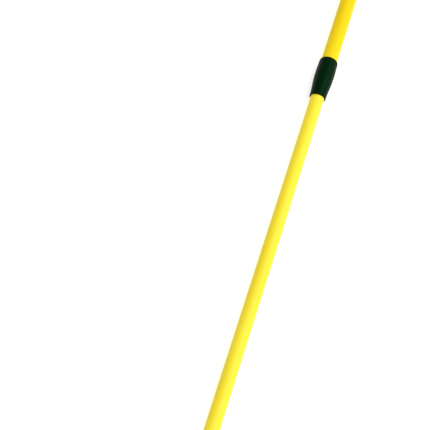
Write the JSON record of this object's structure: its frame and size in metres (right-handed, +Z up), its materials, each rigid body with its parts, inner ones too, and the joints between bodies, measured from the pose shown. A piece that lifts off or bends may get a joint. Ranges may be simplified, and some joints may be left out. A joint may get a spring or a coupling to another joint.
{
  "type": "roller extension pole",
  "caption": "Two-section telescoping paint roller pole with a barrel collar, an internal quarter-turn cam lock, a threaded tip and a hand grip.",
  "frame": {"origin": "centre of the pole's bounding box on the floor that it lies on", "axes": "+Z up, +Y along the pole from the threaded tip towards the hand grip, +X across it"},
  "size_m": [0.0332, 1.597, 0.0307],
  "materials": {
    "base_tube_yellow": "glossy",
    "extension_tube_yellow": "glossy",
    "collar_green": "satin",
    "grip_green": "matte",
    "cap_green": "satin",
    "bearing_nylon": "matte",
    "spindle_nylon": "matte",
    "plated_steel": "satin",
    "tip_alloy": "satin",
    "black_rubber": "matte"
  },
  "bodies": {
    "outer_section": {"outer_tube": "base_tube_yellow", "lock_collar": "collar_green", "collar_guide_bush": "bearing_nylon", "collar_wiper_seal": "black_rubber", "hand_grip": "grip_green", "end_cap": "cap_green", "end_cap_pin": "plated_steel", "travel_bumper": "black_rubber"},
    "glide": {"glide_ring": "bearing_nylon", "glide_o_ring": "black_rubber"},
    "inner_section": {"inner_tube": "extension_tube_yellow", "cam_spindle": "spindle_nylon", "spindle_cross_pin": "plated_steel", "cam_thrust_washer": "plated_steel", "retainer_washer": "plated_steel", "retainer_screw": "plated_steel", "tip_ferrule": "cap_green", "threaded_tip": "tip_alloy", "tip_cross_pin": "plated_steel"},
    "cam": {"cam_ring": "bearing_nylon", "cam_drag_spring": "plated_steel"}
  },
  "joints": [
    {"name": "extension_slide", "type": "slide", "parent": "outer_section", "child": "glide", "axis": [0, -1, 0], "range_m": [-0.607, 0.1675]},
    {"name": "lock_twist", "type": "hinge", "parent": "glide", "child": "inner_section", "pos_m": [0, -0.00147, 0.01535], "axis": [0, -1, 0], "range_deg": [0, 90]},
    {"name": "cam_turn", "type": "hinge", "parent": "inner_section", "child": "cam", "pos_m": [0.0006, 0.07883, 0.01535], "axis": [0, -1, 0], "range_deg": [-90, 0]}
  ],
  "couplings": [
    {"joint": "cam_turn", "follows": "lock_twist", "ratio": -1}
  ]
}
